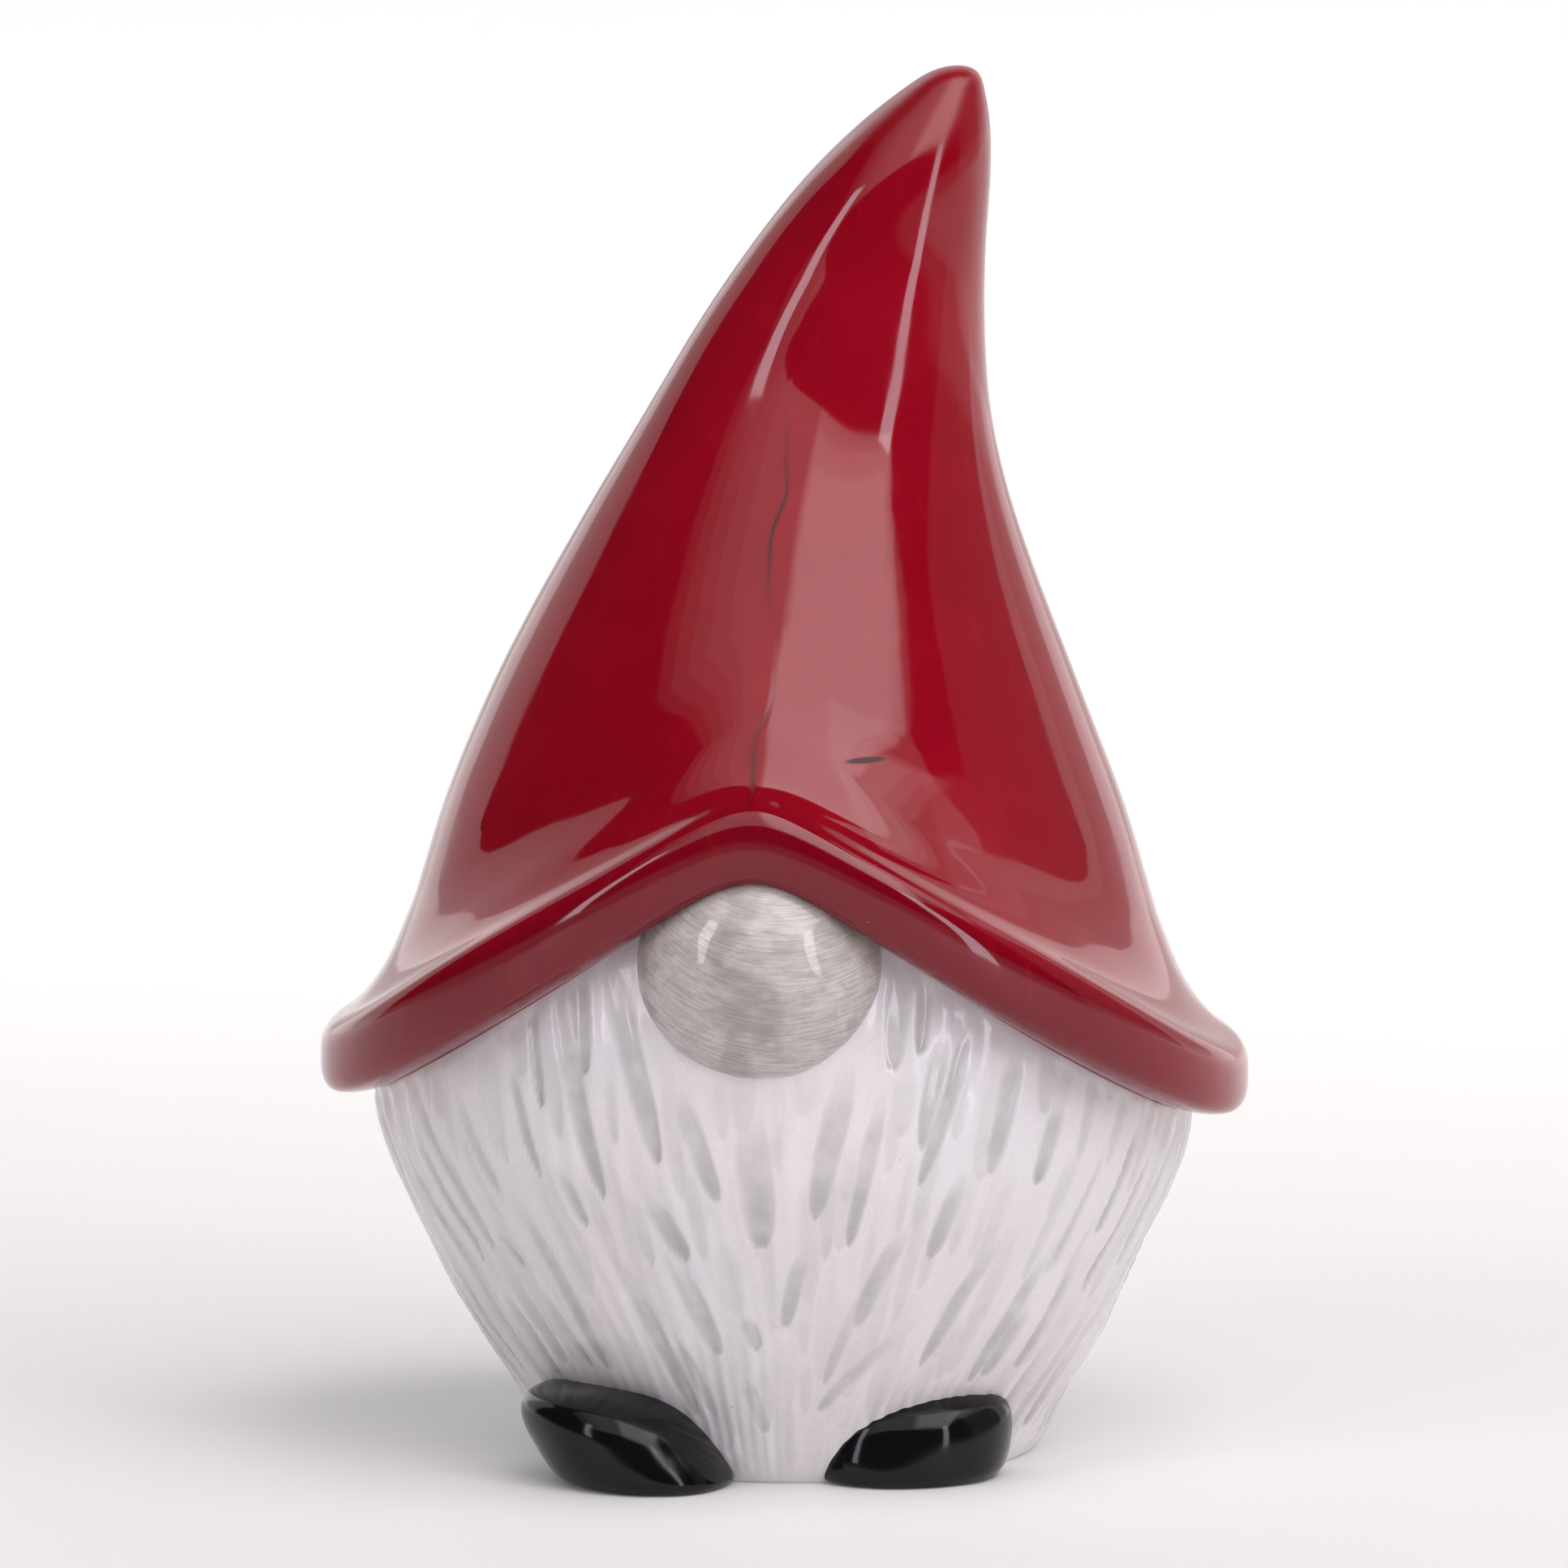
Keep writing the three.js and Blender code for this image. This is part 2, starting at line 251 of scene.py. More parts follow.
# The tip is rounded by running the outline over the top to its mirror image.
UP_TO_TIP = [(radius, height) for height, radius in CONE_OUTLINE]
DOWN_FROM_TIP = [(-radius, height) for radius, height in UP_TO_TIP[:-3:-1]]
TIP_TRACK = smooth_path(UP_TO_TIP + [(0, HEIGHT)] + DOWN_FROM_TIP, 3000)
TIP_TRACK = TIP_TRACK[TIP_TRACK[:, 0] >= 0]
TIP_TRACK = np.vstack([TIP_TRACK, [0, HEIGHT]])
body_outline = smooth_curve(BODY_OUTLINE)


def cone_radius(height):
    return np.interp(height, TIP_TRACK[:, 1], TIP_TRACK[:, 0])


def hat_lean(height):
    share = np.clip((height - LEAN_START) / (HEIGHT - LEAN_START), 0, None)
    return LEAN * share ** LEAN_POWER


def hat_fullness(turn, height):
    """How much the front of the hat stands out: full above the brim, drawn in at the neck of the tip."""
    edge = brim_edge(turn)
    lower = mix(FRONT_FULLNESS, NECK_DIP, (height - edge - 9) / (NECK_HEIGHT - edge - 9))
    upper = mix(NECK_DIP, 0, (height - NECK_HEIGHT) / (NECK_TOP - NECK_HEIGHT))
    bent = (lower + upper) / 2 + np.hypot((lower - upper) / 2, NECK_ROUNDING)
    bent *= smoothstep(9, 20, height - edge) * (1 - smoothstep(NECK_TOP - 12, NECK_TOP + 5, height))
    return bent * np.clip(np.cos(turn), 0, None) ** 1.5


def hat_point(turn, height, offset=0.0):
    """A point at a turn and height, a distance outside the hat's bare cone."""
    turn, height, offset = np.broadcast_arrays(turn, height, offset)
    radius = cone_radius(height)
    depth = mix(CONE_DEPTH, TIP_DEPTH, smoothstep(TIP_DEPTH_START, TIP_DEPTH_END, height))
    x = hat_lean(height) + (radius + offset) * np.sin(turn)
    y = -(radius * depth + offset) * np.cos(turn)
    return np.stack([x, y, height], axis=-1)


def body_plan(height):
    """The beard's plan at a height: the x of its middle, its half width, and its depth as a share of that."""
    share = np.clip(height / BODY_WIDEST, 0, 1)
    return BASE_X * (1 - share), body_outline(height), mix(1, BODY_TOP_DEPTH, share)


def body_point(turn, height, offset=0.0):
    """A point at a turn and height, a distance outside the beard's smooth surface."""
    turn, height, offset = np.broadcast_arrays(turn, height, offset)
    middle, radius, depth = body_plan(height)
    x = middle + (radius + offset) * np.sin(turn)
    y = -(radius * depth + offset) * np.cos(turn)
    return np.stack([x, y, height], axis=-1)


def brim_edge(turn):
    """Height of the brim's edge: a rounded peak in front, and level behind."""
    def height_at(across):
        run = np.hypot(EDGE_REACH * across - PEAK_X, PEAK_ROUNDING) - PEAK_ROUNDING
        return PEAK_HEIGHT - EDGE_SLOPE * run

    level = mix(height_at(-1), height_at(1), (1 + np.sin(turn)) / 2)
    return np.where(np.cos(turn) > 0, height_at(np.sin(turn)), level)


def brim_flare(turn):
    facing = np.cos(turn)
    end = np.where(facing > 0, FLARE_FRONT, FLARE_BACK)
    return mix(FLARE_SIDE, end, facing ** 2)


# ------------------------------------------------------------------------------------------------
# Meshes

def turns(count, crowding=0.0):
    """Angles round the figure, starting at the back, and closer together towards the front."""
    even = np.arange(count) * (2 * math.pi / count) - math.pi
    return even - crowding * np.sin(even)


def normals(grid):
    """Outward unit normals of a grid of rows that go up and close round the figure."""
    up = np.gradient(grid, axis=0)
    wrapped = np.concatenate([grid[:, -1:], grid, grid[:, :1]], axis=1)
    along = (wrapped[:, 2:] - wrapped[:, :-2]) / 2
    cross = np.cross(along, up)
    return cross / np.maximum(np.linalg.norm(cross, axis=-1, keepdims=True), 1e-9)


def skin(name, rings, materials, poles=None, material_rows=None, shades=None):
    """A closed mesh object from rings of points in millimetres, smooth shaded.

    The rings end in two poles, or without poles the last ring joins the first. material_rows gives each
    band's material, and shades a number for every point, by attribute name.
    """
    rows, segments = rings.shape[:2]
    points = rings.reshape(-1, 3)
    bands = rows if poles is None else rows - 1
    first = np.arange(segments)
    lower = np.arange(bands)[:, None] * segments + first
    upper = (lower + segments) % (rows * segments)
    faces = np.stack([lower, np.roll(lower, -1, axis=1), np.roll(upper, -1, axis=1), upper], axis=-1)
    faces = faces.reshape(-1, 4).tolist()
    if poles is not None:
        start, end = len(points), len(points) + 1
        last = first + (rows - 1) * segments
        faces += [[start, int(b), int(a)] for a, b in zip(first, np.roll(first, -1))]
        faces += [[end, int(a), int(b)] for a, b in zip(last, np.roll(last, -1))]
        points = np.vstack([points, poles])
    mesh = bpy.data.meshes.new(name)
    mesh.from_pydata((points * MM).tolist(), [], faces)
    mesh.polygons.foreach_set("use_smooth", [True] * len(mesh.polygons))
    for material in materials:
        mesh.materials.append(material)
    if material_rows is not None:
        index = np.repeat(np.asarray(material_rows), segments).tolist()
        index += [0] * (len(mesh.polygons) - len(index))
        mesh.polygons.foreach_set("material_index", index)
    for label, values in (shades or {}).items():
        layer = mesh.attributes.new(label, "FLOAT", "POINT")
        full = np.zeros(len(points))
        full[:values.size] = values.reshape(-1)
        layer.data.foreach_set("value", full)
    mesh.update()
    piece = bpy.data.objects.new(name, mesh)
    bpy.context.scene.collection.objects.link(piece)
    return piece


def stand_for(piece, node):
    """Puts a finished piece in place of its CAD node."""
    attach(piece, "root")
    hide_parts(node)


# ------------------------------------------------------------------------------------------------
# Materials: adding nodes

class Shader:
    """A material whose nodes are added one by one, starting from a Principled BSDF."""

    def __init__(self, name, roughness, ior=1.5):
        self.material = bpy.data.materials.new(name)
        self.material.use_nodes = True
        self.tree = self.material.node_tree
        self.principled = self.tree.nodes["Principled BSDF"]
        self.principled.inputs["Roughness"].default_value = roughness
        self.principled.inputs["IOR"].default_value = ior
        self.place = self.node("ShaderNodeTexCoord").outputs["Object"]

    def node(self, kind, **settings):
        node = self.tree.nodes.new(kind)
        for key, value in settings.items():
            setattr(node, key, value)
        return node

    def link(self, source, socket):
        """Feeds a socket from another node's output, or sets it to a value."""
        if hasattr(source, "is_output"):
            self.tree.links.new(source, socket)
        else:
            socket.default_value = source

    def noise(self, size_mm, detail=3, stretch=(1, 1, 1), warp=0.0):
        """Soft random patches, about 0.3 to 0.7."""
        return self.noise_over(self.stretched(stretch), 1 / (size_mm * MM), detail, warp)

    def noise_over(self, place, scale, detail, warp=0.0):
        node = self.node("ShaderNodeTexNoise")
        self.link(place, node.inputs["Vector"])
        node.inputs["Scale"].default_value = scale
        node.inputs["Detail"].default_value = detail
        node.inputs["Distortion"].default_value = warp
        return node.outputs["Fac"]

    def hairs(self, track, thickness_mm, length_mm):
        """Brush hairs along the lines on which an attribute stays the same."""
        across = self.math("DIVIDE", self.along("X"), length_mm * MM)
        up = self.math("DIVIDE", self.attribute(track), thickness_mm)
        joined = self.node("ShaderNodeCombineXYZ")
        self.link(across, joined.inputs["X"])
        self.link(up, joined.inputs["Y"])
        return self.noise_over(joined.outputs["Vector"], 1, 3)

    def along(self, axis):
        """How far along X, Y or Z the place on the piece is, in metres."""
        split = self.node("ShaderNodeSeparateXYZ")
        self.link(self.place, split.inputs["Vector"])
        return split.outputs[axis]

    def stretched(self, stretch):
        """The place on the piece, with patterns drawn out along x, y and z."""
        if stretch == (1, 1, 1):
            return self.place
        mapping = self.node("ShaderNodeMapping")
        self.link(self.place, mapping.inputs["Vector"])
        mapping.inputs["Scale"].default_value = [1 / s for s in stretch]
        return mapping.outputs["Vector"]

    def specks(self, spacing_mm, size_mm, share):
        """Round specks: 1 in their middle, 0 outside, in a share of the cells of a random mesh."""
        cells = self.node("ShaderNodeTexVoronoi")
        self.link(self.place, cells.inputs["Vector"])
        cells.inputs["Scale"].default_value = 1 / (spacing_mm * MM)
        near = self.ramp(cells.outputs["Distance"], 0.0, size_mm / spacing_mm, 1.0, 0.0)
        draw = self.node("ShaderNodeSeparateColor")
        self.link(cells.outputs["Color"], draw.inputs["Color"])
        chosen = self.math("GREATER_THAN", draw.outputs["Red"], 1 - share)
        return self.math("MULTIPLY", near, chosen)

    def spot(self, middle, reach):
        """One mark at a place on the piece: 1 in its middle, 0 beyond its reach."""
        shifted = self.node("ShaderNodeVectorMath", operation="SUBTRACT")
        self.link(self.place, shifted.inputs[0])
        shifted.inputs[1].default_value = [c * MM for c in middle]
        scaled = self.node("ShaderNodeVectorMath", operation="DIVIDE")
        self.link(shifted.outputs["Vector"], scaled.inputs[0])
        scaled.inputs[1].default_value = [c * MM for c in reach]
        away = self.node("ShaderNodeVectorMath", operation="LENGTH")
        self.link(scaled.outputs["Vector"], away.inputs[0])
        return self.ramp(away.outputs["Value"], 0.5, 1.0, 1.0, 0.0)

    def height_mm(self):
        """Height above the floor."""
        return self.math("DIVIDE", self.along("Z"), MM)

    def ramp(self, value, low, high, at_low=0.0, at_high=1.0):
        """A smooth change from one number to another while a value goes from low to high."""
        node = self.node("ShaderNodeMapRange", interpolation_type="SMOOTHSTEP")
        for socket, number in zip(("Value", "From Min", "From Max", "To Min", "To Max"),
                                  (value, low, high, at_low, at_high)):
            self.link(number, node.inputs[socket])
        return node.outputs["Result"]

    def math(self, operation, *values):
        node = self.node("ShaderNodeMath", operation=operation)
        for socket, value in zip(node.inputs, values):
            self.link(value, socket)
        return node.outputs["Value"]

    def blend(self, first, second, factor):
        """Two colours mixed by a factor."""
        node = self.node("ShaderNodeMix", data_type="RGBA")
        self.link(factor, node.inputs["Factor"])
        for name, colour in (("A", first), ("B", second)):
            socket = [s for s in node.inputs if s.name == name and s.type == "RGBA"][0]
            self.link((*colour, 1) if isinstance(colour, tuple) else colour, socket)
        return [s for s in node.outputs if s.type == "RGBA"][0]

    def attribute(self, name):
        return self.node("ShaderNodeAttribute", attribute_name=name).outputs["Fac"]

    def colour(self, source):
        self.link(source, self.principled.inputs["Base Color"])

    def roughness(self, source):
        self.link(source, self.principled.inputs["Roughness"])

    def bump(self, height, depth_mm):
        node = self.node("ShaderNodeBump")
        node.inputs["Distance"].default_value = depth_mm * MM
        self.link(height, node.inputs["Height"])
        self.link(node.outputs["Normal"], self.principled.inputs["Normal"])


# ------------------------------------------------------------------------------------------------
# Materials: the glazes and the bare clay

DENT_PLACE = (12.6, -38.5, 94.9)  # a scratch in the clay above the brim
DENT_SIZE = (3.6, 9, 0.52)


def red_glaze():
    """Glossy red with streaks and pinholes, painted shade over the front of the brim, darker in the marks,
    duller at the tip.
    """
    s = Shader("red_glaze", 0.06)
    clouds = s.ramp(s.noise(26, detail=4), 0.35, 0.7)
    body = s.blend((0.234, 0.0008, 0.0085), (0.278, 0.002, 0.0125), clouds)
    # painted shade: a darker red over the front of the brim's roll
    body = s.blend(body, (0.16, 0.0006, 0.008), s.math("MULTIPLY", s.attribute("painted_brim_shade"), 0.85))
    streaks = s.ramp(s.noise(2.2, detail=3, stretch=(1, 1, 7), warp=0.4), 0.56, 0.75)
    body = s.blend(body, (0.33, 0.012, 0.012), s.math("MULTIPLY", streaks, 0.2))
    pits = s.specks(5, 0.15, 0.4)
    body = s.blend(body, (0.55, 0.30, 0.30), s.math("MULTIPLY", pits, 0.7))
    marks = s.math("MAXIMUM", s.attribute("seam"), s.spot(DENT_PLACE, DENT_SIZE))
    body = s.blend(body, (0.04, 0.001, 0.003), s.math("MULTIPLY", marks, 0.9))
    s.colour(body)
    polish = s.ramp(s.noise(9, detail=5), 0.3, 0.8, 0.045, 0.11)
    dull_tip = s.ramp(s.height_mm(), 165, 175, 0.0, 0.28)
    dull_marks = s.math("MULTIPLY", marks, 0.5)
    s.roughness(s.math("MAXIMUM", s.math("MAXIMUM", polish, dull_tip), dull_marks))
    s.bump(s.noise(7, detail=1), 0.03)
    return s.material


def white_glaze():
    """White with a faint lilac and pink tint, and a grey wash that lies in the strokes."""
    s = Shader("white_glaze", 0.12)
    tint = s.ramp(s.noise(30, detail=2), 0.4, 0.65)
    body = s.blend((0.80, 0.78, 0.815), (0.83, 0.785, 0.795), tint)
    wash = s.math("MULTIPLY", s.attribute("wash"), s.ramp(s.noise(3.5, detail=4), 0.25, 0.7, 0.6, 1.0))
    body = s.blend(body, (0.46, 0.45, 0.45), wash)
    grain = s.ramp(s.noise(0.5, detail=3), 0.35, 0.7, 0.0, 0.10)
    body = s.blend(body, (0.5, 0.48, 0.48), grain)
    dots = s.specks(4.5, 0.2, 0.25)
    body = s.blend(body, (0.12, 0.10, 0.10), s.math("MULTIPLY", dots, 0.8))
    s.colour(body)
    s.roughness(s.ramp(s.noise(6, detail=4), 0.3, 0.8, 0.09, 0.2))
    s.bump(s.noise(2.5, detail=3), 0.05)
    return s.material


def grey_glaze():
    """Greyish beige brushed on in curved hairs, smudged, and paler at its rim."""
    s = Shader("grey_glaze", 0.05)
    fine = s.hairs("arc", 0.28, 4)
    broad = s.noise(1.6, detail=4, stretch=(2.2, 1, 1), warp=0.6)
    hairs = s.math("ADD", s.math("MULTIPLY", fine, 0.6), s.math("MULTIPLY", broad, 0.4))
    body = s.blend((0.42, 0.395, 0.37), (0.62, 0.585, 0.57), s.ramp(hairs, 0.36, 0.64))
    smudges = s.ramp(s.noise(8, detail=4), 0.48, 0.66)
    body = s.blend(body, (0.25, 0.235, 0.215), s.math("MULTIPLY", smudges, 0.55))
    body = s.blend(body, (0.68, 0.65, 0.65), s.attribute("rim"))
    s.colour(body)
    s.bump(hairs, 0.004)
    return s.material


def black_glaze():
    """Glossy black with a little dust."""
    s = Shader("black_glaze", 0.04, ior=1.36)
    dust = s.specks(1.3, 0.12, 0.25)
    body = s.blend((0.0045, 0.004, 0.005), (0.05, 0.047, 0.045), s.math("MULTIPLY", dust, 0.6))
    s.colour(body)
    s.roughness(s.ramp(s.noise(4, detail=4), 0.3, 0.8, 0.07, 0.2))
    s.bump(s.noise(6, detail=2), 0.08)
    return s.material


def bare_clay():
    """Unglazed clay, inside and underneath."""
    s = Shader("bare_clay", 0.75)
    body = s.blend((0.66, 0.60, 0.52), (0.56, 0.50, 0.43), s.ramp(s.noise(7, detail=5), 0.35, 0.7))
    s.colour(s.blend(body, (0.3, 0.27, 0.24), s.specks(2.4, 0.16, 0.3)))
    s.bump(s.noise(0.6, detail=4), 0.06)
    return s.material


# ------------------------------------------------------------------------------------------------
# The hat

SEAM = [  # the mould seam down the front of the hat: height, x
    (80, -1.6),
    (89, -1.6),
    (97, -1.4),
    (101, 0),
    (109, 0.6),
    (120, -0.4),
    (127, 1.2),
    (139, 1.3),
    (145, 3.2),
    (158, 8.5),
    (180, 22),
]
SEAM_DEPTH = 0.06
SEAM_WIDTH = 0.28


def seam_line(grid):
    """The mould seam down the front of the hat: 1 along its middle."""
    x, y, height = np.moveaxis(grid, -1, 0)
    wander = 0.35 * np.sin(height / 1.9) * np.sin(height / 4.3 + 1)
    line = np.exp(-((x - smooth_curve(SEAM)(height) - wander) / SEAM_WIDTH) ** 2) * (y < 0)
    strength = 0.55 + 0.45 * np.sin(height / 5 + 2)
    return line * strength * smoothstep(89, 93, height) * (1 - smoothstep(136, 150, height))


def roll_track(corners):
    """Rows round a roll: share of the flare and height above the edge."""
    track = smooth_path([(10 * share, rise) for share, rise in corners], ROLL_ROWS)
    return track[:, :1] / 10, track[:, 1:]


def hat_outside():
    """The hat's outer surface: rows from inside the brim's edge, round its roll and up to the tip."""
    turn = turns(HAT_SEGMENTS, FRONT_CROWDING)[None, :]
    facing = np.clip(np.cos(turn), 0, None)
    front = facing ** 1.2
    (front_share, front_rise), (side_share, side_rise) = roll_track(FRONT_ROLL), roll_track(SIDE_ROLL)
    share = mix(side_share, front_share, front)
    thick = 1 + ROLL_THICKENING * np.sin(2 * turn) ** 2 * facing
    rise = mix(side_rise, front_rise, front)
    rise = rise * mix(thick, 1, smoothstep(14, 31, rise))
    brim = hat_point(turn, brim_edge(turn) + rise, share * brim_flare(turn))
    up = np.sin(np.linspace(0, math.pi / 2, CONE_ROWS)[1:-1])[:, None]
    cone = hat_point(turn, mix(brim_edge(turn) + FRONT_ROLL[-1][1], HEIGHT, up))
    outside = np.concatenate([brim, cone])
    outside[..., 1] -= hat_fullness(turn, outside[..., 2])
    return outside


def hat_relief(grid, seam):
    """The hand-made unevenness of the hat, and the mould seam down its front."""
    uneven = 0.05 * ripple(grid, 34, 3) + 0.006 * ripple(grid, 11, 4)
    fade = 1 - smoothstep(170, 178, grid[..., 2])
    return uneven * fade - SEAM_DEPTH * seam


def build_hat():
    """Rows down the hollow, under the brim and up the outside."""
    outside = hat_outside()
    seam = seam_line(outside)
    outside = outside + normals(outside) * hat_relief(outside, seam)[..., None]
    turn = turns(HAT_SEGMENTS, FRONT_CROWDING)
    edge = brim_edge(turn)
    seat = edge + SHOULDER_RISE + JOIN
    hollow_rows = np.linspace(1, 0, 14)[:, None]
    hollow = hat_point(turn, mix(edge + SHOULDER_RISE + COLLAR_HEIGHT, HOLLOW_TOP - 6, hollow_rows), -WALL)
    inside = [
        hollow,
        hat_point(turn, seat, -WALL)[None],
        body_point(turn, seat, JOIN)[None],
        body_point(turn, edge + 0.5, JOIN)[None],
    ]
    rings = np.concatenate(inside + [outside])
    poles = [(hat_lean(top), 0, top) for top in (HOLLOW_TOP, HEIGHT)]
    line, painted_brim_shade = np.zeros(rings.shape[:2]), np.zeros(rings.shape[:2])
    line[-len(outside):] = seam
    # painted shade: the front of the brim's roll, low over its edge, is coloured a darker red
    low = 1 - smoothstep(7, 12, outside[..., 2] - edge)
    painted_brim_shade[-len(outside):] = low * smoothstep(0.25, 0.75, np.cos(turn))
    hat = skin("hat_glazed", rings, [red_glaze()], poles, shades={"seam": line, "painted_brim_shade": painted_brim_shade})
    stand_for(hat, "hat")


# ------------------------------------------------------------------------------------------------
# The body and its carved beard

# The beard's carved strokes: turn and height of the top, turn and height of the foot, width, depth.
STROKES = [
    (-62, 52, -51, 35, 1.8, 0.5),
    (-40, 57, -34, 41, 1.7, 0.5),
    (-32, 66, -24, 39, 2.8, 0.7),
    (-29, 70, -26, 55, 2.6, 0.5),
    (-37, 66, -33, 50, 1.8, 0.5),
    (-21, 62, -16, 50, 1.6, 0.5),
    (-50, 52, -43, 38, 1.8, 0.4),
    (-55, 47, -49, 30, 1.6, 0.4),
    (20, 70, 18, 56, 3.0, 0.4),
    (24, 68, 22, 58, 2.0, 0.5),
    (-19, 22, -13, 9, 2.2, 0.4),
    (17, 30, 9, 14, 1.8, 0.4),
    (-24, 71, -15, 44, 3.2, 0.7),
    (-13, 55, -7, 39, 2.8, 0.6),
    (-18, 40, -13, 31, 3.1, 0.9),
    (-2, 52, -1, 33, 4.3, 0.5),
    (-26, 34, -17, 9, 2.6, 0.5),
    (-16, 32, -10, 18, 3.0, 0.5),
    (-31, 43, -28, 35, 2.0, 0.5),
    (-41, 40, -33, 15, 2.4, 0.5),
    (-47, 33, -44, 28, 1.8, 0.5),
    (-45, 28, -37, 15, 2.2, 0.4),
    (-64, 36, -55, 12, 1.6, 0.4),
    (-5, 24, -3, 19, 2.2, 0.5),
    (-7, 16, -3, 7, 2.2, 0.4),
    (12, 58, 7, 37, 3.3, 0.6),
    (17, 55, 12, 33, 2.0, 0.8),
    (26, 61, 22, 46, 2.4, 0.6),
    (30, 62, 26, 52, 1.8, 0.5),
    (30, 60, 22, 41, 2.2, 0.6),
    (38, 60, 33, 42, 2.8, 0.6),
    (45, 52, 41, 40, 2.6, 0.5),
    (29, 43, 25, 31, 2.6, 0.6),
    (21, 36, 14, 22, 2.6, 0.5),
    (38, 35, 27, 16, 2.4, 0.5),
    (48, 32, 39, 13, 2.4, 0.5),
    (6, 34, 2, 22, 2.1, 0.5),
    (27, 24, 8, 10, 2.4, 0.4),
]
BEARD_SWEEP = 0.42  # how much the strands draw in to the front from the widest part down


def flow_share(height):
    """How far out to the side a strand lies at a height, against its place at the widest part."""
    return 1 - BEARD_SWEEP * np.clip(1 - height / 62, 0, 1)


def strand_turn(start, height):
    """The turn of a strand at a height, from its turn at the widest part of the beard."""
    turn = start
    for _ in range(6):
        turn = start * (1 - (1 - flow_share(height)) * np.cos(turn / 2) ** 2)
    return turn


def faint_strokes():
    """Shallow overlapping strokes all round, along the strands."""
    random = np.random.default_rng(31)
    strokes = []
    for start in np.arange(-180, 180, 3.1):
        for top in (random.uniform(44, 66), random.uniform(26, 46), random.uniform(14, 28)):
            foot = top - random.uniform(7, 20)
            place = math.radians(start + random.uniform(-2, 2))
            ends = [math.degrees(float(strand_turn(place, height))) for height in (top, foot)]
            width = random.uniform(1.2, 3.4)
            strokes.append((ends[0], top, ends[1], foot, width, random.uniform(0.06, 0.24)))
    return strokes


def side_strokes():
    """Strokes round the sides and back, in staggered columns along the strands."""
    random = np.random.default_rng(11)
    strokes = []
    for start in np.arange(60, 360 - 58, 7.5):
        start = start if start <= 180 else start - 360
        top = random.uniform(44, 50)
        while top > 8:
            length = random.uniform(10, 22)
            foot = max(top - length, 3)
            place = math.radians(start + random.uniform(-1.5, 1.5))
            ends = [math.degrees(float(strand_turn(place, height))) for height in (top, foot)]
            width = random.uniform(1.4, 2.6)
            strokes.append((ends[0], top, ends[1], foot, width, random.uniform(0.35, 0.6)))
            top = foot - random.uniform(0, 5)
    return strokes


def carve(turn, height):
    """Depth of the carved strokes in millimetres, and how much grey wash lies in them."""
    depth = np.zeros(turn.shape)
    wash = np.zeros(turn.shape)
    radius = body_outline(height)
    for top_turn, top, foot_turn, foot, width, deep in STROKES + side_strokes() + faint_strokes():
        along = (top - height) / (top - foot)
        inside = (along > 0) & (along < 1)
        if not inside.any():
            continue
        along = np.clip(along, 0, 1)
        middle = np.radians(mix(top_turn, foot_turn, along + 0.25 * along * (1 - along)))
        across = np.angle(np.exp(1j * (turn - middle))) * radius
        taper = np.minimum(1, 0.35 + 2.2 * along) ** 0.8 * (1 - along ** 6) ** 0.5
        half = 0.62 * width * taper + 1e-6
        floor = np.clip(1 - (across / half) ** 4, 0, 1) * np.minimum(1, 3 * along) * inside
        crest = np.exp(-((np.abs(across) - half) / 0.3) ** 2) * np.sin(math.pi * along) * inside
        depth = np.maximum(depth, 0.6 * deep * floor) - 0.16 * deep * crest
        wash = np.maximum(wash, floor * min(1, deep / 0.5) * mix(0.25, 1, along ** 0.7))
    return depth, wash


def beard_relief(turn, height, grid):
    """How far the beard's surface stands out of its smooth shape, and how much wash lies on it."""
    depth, wash = carve(turn, height)
    start = turn / (1 - (1 - flow_share(height)) * np.cos(turn / 2) ** 2)
    edge = smoothstep(0.8, 1.25, np.abs(start))
    combed = np.sin(start * 52 + 1.5 * np.sin(height / 9)) * (0.03 + 0.1 * edge)
    combed += 0.05 * np.sin(start * 91 + 2 * np.sin(height / 6 + 1))
    uneven = 0.15 * ripple(grid, 18, 5) + 0.06 * ripple(grid, 6, 6)
    fade = smoothstep(0, 4, height)
    return (combed + uneven - depth) * fade, wash * fade


def nose_fillet(grid):
    """A fillet of slip that rises from the beard to the foot of the nose."""
    surface = np.sqrt(1 - ((-NOSE_CENTRE[1] - BEARD_AT_NOSE) / NOSE_RADII[1]) ** 2)
    sideways, _, upwards = np.moveaxis((grid - NOSE_CENTRE) / NOSE_RADII, -1, 0)
    outside = np.clip(np.hypot(sideways, upwards) / surface - 1, 0, None) * NOSE_RADII[0]
    return NOSE_FILLET * np.exp(-outside / 1.1) * (grid[..., 1] < 0)


